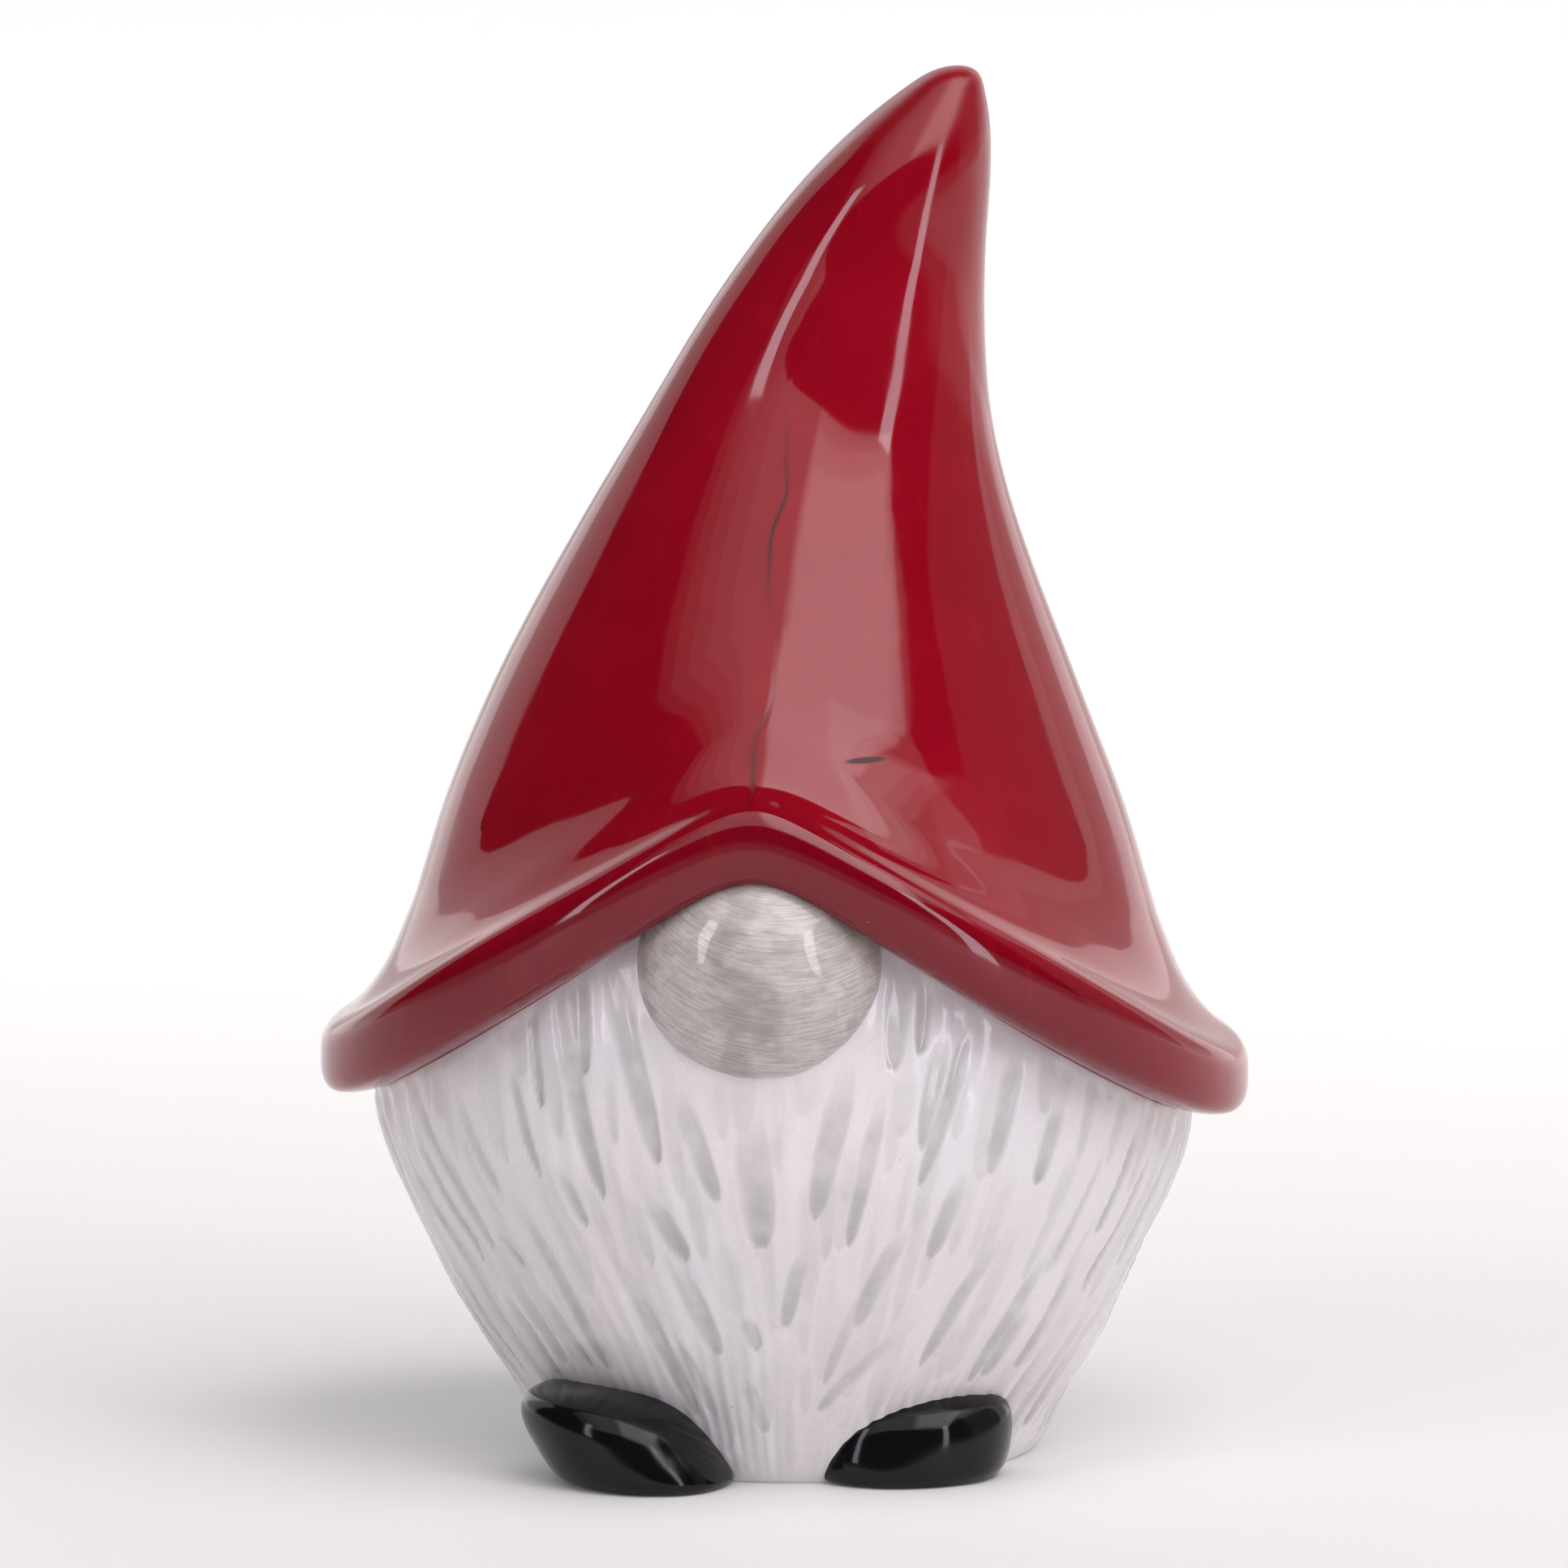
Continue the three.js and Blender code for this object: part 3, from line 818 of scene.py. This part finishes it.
def build_body():
    """Rows up the beard, round the shoulder and the collar, down the inside and out under the foot."""
    turn = turns(BODY_SEGMENTS, FRONT_CROWDING)
    edge = brim_edge(turn)
    share = np.linspace(0, 1, BEARD_ROWS)[:, None] ** 1.05
    height = share * (edge + SHOULDER_RISE)[None, :]
    turn_grid = np.broadcast_to(turn, height.shape)
    outside = body_point(turn_grid, height)
    relief, wash = beard_relief(turn_grid, height, outside)
    near_nose = nose_fillet(outside)
    relief = relief * (1 - near_nose) + near_nose
    under_brim = smoothstep(-1.5, 1.0, height - edge)
    relief *= 1 - under_brim
    wash = wash * (1 - near_nose)
    outside = outside + normals(outside) * relief[..., None]

    collar_offset = -WALL - JOIN
    shoulder = edge + SHOULDER_RISE
    collar = [
        hat_point(turn, shoulder, collar_offset),
        hat_point(turn, shoulder + COLLAR_HEIGHT, collar_offset),
        hat_point(turn, shoulder + COLLAR_HEIGHT, collar_offset - WALL),
        hat_point(turn, shoulder, collar_offset - WALL),
    ]
    wall = [body_point(turn, mix(FLOOR_THICKNESS, edge - WALL, up), -WALL) for up in np.linspace(1, 0, 11)]
    foot = [
        (POUR_HOLE_RADIUS, FLOOR_THICKNESS),
        (POUR_HOLE_RADIUS, FOOT_RECESS + 0.8),
        (POUR_HOLE_RADIUS + 0.8, FOOT_RECESS),
        (FOOT_RING_RADIUS, FOOT_RECESS),
        (FOOT_RING_RADIUS + 0.8, 0.25),
        (FOOT_RING_RADIUS + 1.4, 0),
        (FOOT_FLAT_RADIUS, 0),
    ]
    under = []
    for radius, rise in foot:
        x = BASE_X + radius * np.sin(turn)
        under.append(np.stack([x, -radius * np.cos(turn), np.full_like(turn, rise)], axis=-1))
    hidden = np.stack(collar + wall + under)
    rings = np.concatenate([outside, hidden])
    shades = np.zeros(rings.shape[:2])
    shades[:len(outside)] = wash
    bare = np.zeros(len(rings), int)
    bare[len(outside) - 1:] = 1
    body = skin("body_glazed", rings, [white_glaze(), bare_clay()], material_rows=bare,
                shades={"wash": shades})
    stand_for(body, "body")


# ------------------------------------------------------------------------------------------------
# The nose and the shoes

def beard_front(x, z):
    """The y of the beard's front surface."""
    middle, radius, depth = body_plan(z)
    across = np.clip((x - middle) / radius, -0.999, 0.999)
    return -radius * depth * np.sqrt(1 - across ** 2)


def build_nose():
    """A ball on the beard: rows from its front out to the beard, then a hidden back."""
    around = turns(LUMP_SEGMENTS)

    def ball(lean):
        x = NOSE_CENTRE[0] + NOSE_RADII[0] * np.sin(lean) * np.sin(around)
        z = NOSE_CENTRE[2] - NOSE_RADII[2] * np.sin(lean) * np.cos(around)
        y = NOSE_CENTRE[1] - NOSE_RADII[1] * np.cos(lean)
        return np.stack(np.broadcast_arrays(x, y, z), axis=-1)

    low, high = np.zeros(LUMP_SEGMENTS), np.full(LUMP_SEGMENTS, math.pi / 2)
    for _ in range(30):
        middle = (low + high) / 2
        point = ball(middle)
        outside = point[:, 1] < beard_front(point[:, 0], point[:, 2]) + SINK
        low, high = np.where(outside, middle, low), np.where(outside, high, middle)
    shares = np.linspace(0, 1, NOSE_ROWS)[1:]
    front = np.stack([ball(low * share) for share in shares])
    rim = front[-1]
    back = []
    for share in (0.75, 0.5, 0.25):
        x = mix(NOSE_CENTRE[0], rim[:, 0], share)
        z = mix(NOSE_CENTRE[2], rim[:, 2], share)
        back.append(np.stack([x, beard_front(x, z) + SINK, z], axis=-1))
    rings = np.concatenate([front, np.stack(back)])
    lowness = smoothstep(0.2, 1, np.cos(around))[None, :] * 0.7 + 0.3
    fade = smoothstep(0.82, 1.0, shares)[:, None] * lowness
    shades = np.zeros(rings.shape[:2])
    shades[:len(front)] = fade
    shift = 0.12 * ripple(rings, 14, 8) + 0.04 * ripple(rings, 5, 9)
    rings[:, :, 1] += shift * (np.arange(len(rings)) < len(front))[:, None]
    start = NOSE_CENTRE - [0, NOSE_RADII[1], 0]
    end = np.array([NOSE_CENTRE[0], beard_front(NOSE_CENTRE[0], NOSE_CENTRE[2]) + SINK, NOSE_CENTRE[2]])
    arc = rings[..., 2] - 0.022 * (rings[..., 0] - NOSE_CENTRE[0]) ** 2 + 0.15 * rings[..., 0]
    nose = skin("nose_glazed", rings[::-1], [grey_glaze()], (end, start),
                shades={"rim": shades[::-1], "arc": arc[::-1]})
    stand_for(nose, "nose")


SHOE_PROFILE = [  # share of the plan's size, share of the height
    (0.50, 0.0),
    (0.86, 0.0),
    (0.95, 0.05),
    (1.0, 0.2),
    (0.99, 0.44),
    (0.95, 0.65),
    (0.85, 0.82),
    (0.65, 0.94),
    (0.35, 0.99),
    (0.0, 1.0),
]
# Each toe: its middle on the floor, half its width, its reach to the front, its height, how far its top
# leans sideways and back, and how far its point swings sideways.
RIGHT_TOE = {
    "middle": (-16, -29.2),
    "half_width": 12,
    "reach": 14.4,
    "height": 12.5,
    "lean": (-7.2, 1.5),
    "point": 1.5,
}
LEFT_TOE = {
    "middle": (17, -23.8),
    "half_width": 12.7,
    "reach": 12.4,
    "height": 12,
    "lean": (2.2, 1),
    "point": -1.2,
}


def build_shoe(name, node, toe, seed):
    """A toe cap: rows from its sole out and up to its top, pressed against the beard."""
    around = turns(LUMP_SEGMENTS)
    corners = smooth_path([(10 * out, 10 * up) for out, up in SHOE_PROFILE[1:]], SHOE_ROWS)[:-1] / 10
    track = np.vstack([[SHOE_PROFILE[0]], corners])
    out, up = np.clip(track[:, :1], 0, None), np.clip(track[:, 1:], 0, None)
    front = np.clip(np.cos(around), 0, None)
    (middle_x, middle_y), (lean_x, lean_y) = toe["middle"], toe["lean"]
    x = middle_x + lean_x * up + out * (toe["half_width"] * np.sin(around) + toe["point"] * front)
    y = middle_y + lean_y * up - out * toe["reach"] * np.cos(around)
    rings = np.stack([x, y, np.broadcast_to(up * toe["height"], x.shape)], axis=-1)
    raised = (rings[..., 2] > 0.5)[..., None]
    rings = rings + normals(rings) * (0.12 * ripple(rings, 11, seed))[..., None] * raised
    rings = press_to_beard(rings)
    top = (middle_x + lean_x, middle_y + lean_y, toe["height"])
    poles = press_to_beard(np.array([(middle_x, middle_y, 0.0), top]))
    shoe = skin(name, rings, [black_glaze()], poles)
    stand_for(shoe, node)


def press_to_beard(rings):
    """Moves what lies inside the beard out to just under its surface."""
    x, y, z = np.moveaxis(rings, -1, 0)
    middle, radius, depth = body_plan(z)
    reach = np.hypot(x - middle, y / depth)
    factor = np.maximum(1, (radius - SINK) / reach)
    return np.stack([middle + (x - middle) * factor, y * factor, z], axis=-1)


# ------------------------------------------------------------------------------------------------
# Studio

AIM_HEIGHT = 86.4
CAMERA_TURN = 3.0
CAMERA_RISE = 8.0
CAMERA_DISTANCE = 2600
LENS = 461

# Lights: turn, rise, distance, width, height, brightness, tint
COOL, WARM, ROSE, PLAIN = (0.93, 0.9, 1.0), (1, 0.96, 0.95), (1, 0.92, 0.92), (1, 1, 1)
SOFTBOXES = {
    "strip_left": (-47, 19.5, 1300, 170, 830, 5.2, COOL),
    "strip_right": (45, 8, 1300, 170, 1000, 5.2, COOL),
    "side_card": (102, 18, 1500, 1300, 1300, 0.22, PLAIN),
    "side_card_high": (86, 46, 1500, 1400, 500, 0.6, PLAIN),
    "back_left": (-139, 18, 2200, 1550, 1900, 0.65, PLAIN),
    "back_right": (139, 18, 2200, 1550, 1900, 0.65, PLAIN),
}

# The window: its edges are shares of its distance from the gnome. It is made of layers, each a
# little further away and a little smaller, so that its edges are soft.
WINDOW_RISE = 57
WINDOW_TOP = 0.8
WINDOW_BOTTOM = -0.415
LAYER_GAP = 20

# The sweep: a floor all round that curves up into a backdrop, further away than the camera
SWEEP_REACH = 3200
SWEEP_BEND = 900
SWEEP_TOP = 5200
HAZE_BRIGHTNESS = 0.35  # the pale band round the horizon
SKY_BRIGHTNESS = 0.03


def studio_place(turn_degrees, rise_degrees, distance):
    """A place round the figure in metres, from its turn and rise as seen from the aim point."""
    turn, rise = math.radians(turn_degrees), math.radians(rise_degrees)
    flat = math.cos(rise) * distance
    height = AIM_HEIGHT + math.sin(rise) * distance
    return Vector((math.sin(turn) * flat, -math.cos(turn) * flat, height)) * MM


def aim(thing, target):
    thing.rotation_euler = (target - thing.location).to_track_quat("-Z", "Y").to_euler()


def softbox(name, turn_degrees, rise_degrees, distance, width, height, brightness, tint, shift=(0, 0)):
    """A rectangular light that faces the gnome, then shifted sideways and up in its own plane."""
    light = bpy.data.lights.new(name, "AREA")
    light.shape = "RECTANGLE"
    light.size, light.size_y = width * MM, height * MM
    light.energy = brightness * math.pi * light.size * light.size_y
    light.color = tint
    lamp = bpy.data.objects.new(name, light)
    bpy.context.scene.collection.objects.link(lamp)
    lamp.location = studio_place(turn_degrees, rise_degrees, distance)
    aim(lamp, Vector((0, 0, AIM_HEIGHT * MM)))
    lamp.location += lamp.rotation_euler.to_matrix() @ Vector((*shift, 0)) * MM


def window(name, distance, left, right, bottom, top, brightness, tint):
    """One layer of the window high in front of the gnome."""
    width, height = (right - left) * distance, (top - bottom) * distance
    middle = (left + right) / 2 * distance, (bottom + top) / 2 * distance
    softbox(name, 0, WINDOW_RISE, distance, width, height, brightness, tint, middle)


def pale_surface():
    """Matt white paper that glows as painted light: faintly in front of the gnome, more brightly behind it.
    """
    s = Shader("pale_sweep", 0.6)
    tone = s.ramp(s.noise(120, detail=2), 0.3, 0.7)
    s.colour(s.blend((0.76, 0.76, 0.76), (0.748, 0.748, 0.748), tone))
    # painted light: the paper glows, more brightly further behind the gnome
    s.principled.inputs["Emission Color"].default_value = (1, 1, 1, 1)
    glow = s.ramp(s.along("Y"), 0, 700 * MM, 0.06, 0.42)
    s.link(glow, s.principled.inputs["Emission Strength"])
    return s.material


def build_sweep():
    """A pale table top that curves up behind the gnome into a backdrop."""
    section = [(-SWEEP_REACH, 0), (SWEEP_REACH, 0)]
    for angle in np.linspace(0.1, math.pi / 2, 16):
        run, rise = SWEEP_BEND * math.sin(angle), SWEEP_BEND * (1 - math.cos(angle))
        section.append((SWEEP_REACH + run, rise))
    section.append((SWEEP_REACH + SWEEP_BEND, SWEEP_TOP))
    sides = (-SWEEP_REACH, SWEEP_REACH)
    points = [(side * MM, y * MM, z * MM) for y, z in section for side in sides]
    faces = [(2 * i, 2 * i + 1, 2 * i + 3, 2 * i + 2) for i in range(len(section) - 1)]
    mesh = bpy.data.meshes.new("sweep")
    mesh.from_pydata(points, [], faces)
    mesh.polygons.foreach_set("use_smooth", [True] * len(faces))
    mesh.materials.append(pale_surface())
    sweep = bpy.data.objects.new("sweep", mesh)
    sweep.location.z = LOW.z
    bpy.context.scene.collection.objects.link(sweep)


def build_window():
    """A wide dim window with a soft left edge, a bright right half, and a glow beyond its upper right."""
    for i, left in enumerate((-0.98, -0.86, -0.73, -0.6, -0.45)):
        window("window", 2500 + LAYER_GAP * i, left, 0.98, WINDOW_BOTTOM, WINDOW_TOP, 0.23, WARM)
    for i, bottom in enumerate((WINDOW_BOTTOM, -0.35, -0.28)):
        left, right = 0.01 + 0.03 * i, 1.0 - 0.06 * i
        window("window_right", 2620 + LAYER_GAP * i, left, right, bottom, WINDOW_TOP, 0.8, ROSE)
    for i in range(3):
        right, bottom = 1.5 - 0.15 * i, 0.25 + 0.1 * i
        window("ceiling", 2700 + LAYER_GAP * i, 0.9, right, bottom, 1.4, 0.5, ROSE)


def build_sky():
    """A dark room with a pale band round the horizon."""
    world = bpy.data.worlds.new("studio")
    bpy.context.scene.world = world
    world.use_nodes = True
    nodes, links = world.node_tree.nodes, world.node_tree.links
    direction = nodes.new("ShaderNodeTexCoord").outputs["Generated"]
    split = nodes.new("ShaderNodeSeparateXYZ")
    haze = nodes.new("ShaderNodeMapRange")
    haze.interpolation_type = "SMOOTHSTEP"
    haze.inputs["From Min"].default_value = 0.02
    haze.inputs["From Max"].default_value = 0.1
    haze.inputs["To Min"].default_value = HAZE_BRIGHTNESS
    haze.inputs["To Max"].default_value = SKY_BRIGHTNESS
    links.new(direction, split.inputs["Vector"])
    links.new(split.outputs["Z"], haze.inputs["Value"])
    links.new(haze.outputs["Result"], nodes["Background"].inputs["Strength"])
    nodes["Background"].inputs["Color"].default_value = (1, 1, 1, 1)


def build_studio():
    build_sweep()
    for name, settings in SOFTBOXES.items():
        softbox(name, *settings)
    build_window()
    build_sky()


def build_camera():
    data = bpy.data.cameras.new("camera")
    data.lens = LENS
    data.sensor_width = 36
    data.clip_end = 50
    camera = bpy.data.objects.new("camera", data)
    bpy.context.scene.collection.objects.link(camera)
    camera.location = studio_place(CAMERA_TURN, CAMERA_RISE, CAMERA_DISTANCE)
    aim(camera, Vector((0, 0, AIM_HEIGHT * MM)))
    bpy.context.scene.camera = camera
    bpy.context.scene.view_settings.view_transform = "Standard"


# ------------------------------------------------------------------------------------------------
# The gnome in its studio

build_camera()
build_studio()
build_hat()
build_body()
build_nose()
build_shoe("right_shoe_glazed", "right_shoe", RIGHT_TOE, 21)
build_shoe("left_shoe_glazed", "left_shoe", LEFT_TOE, 22)

bpy.context.view_layer.update()
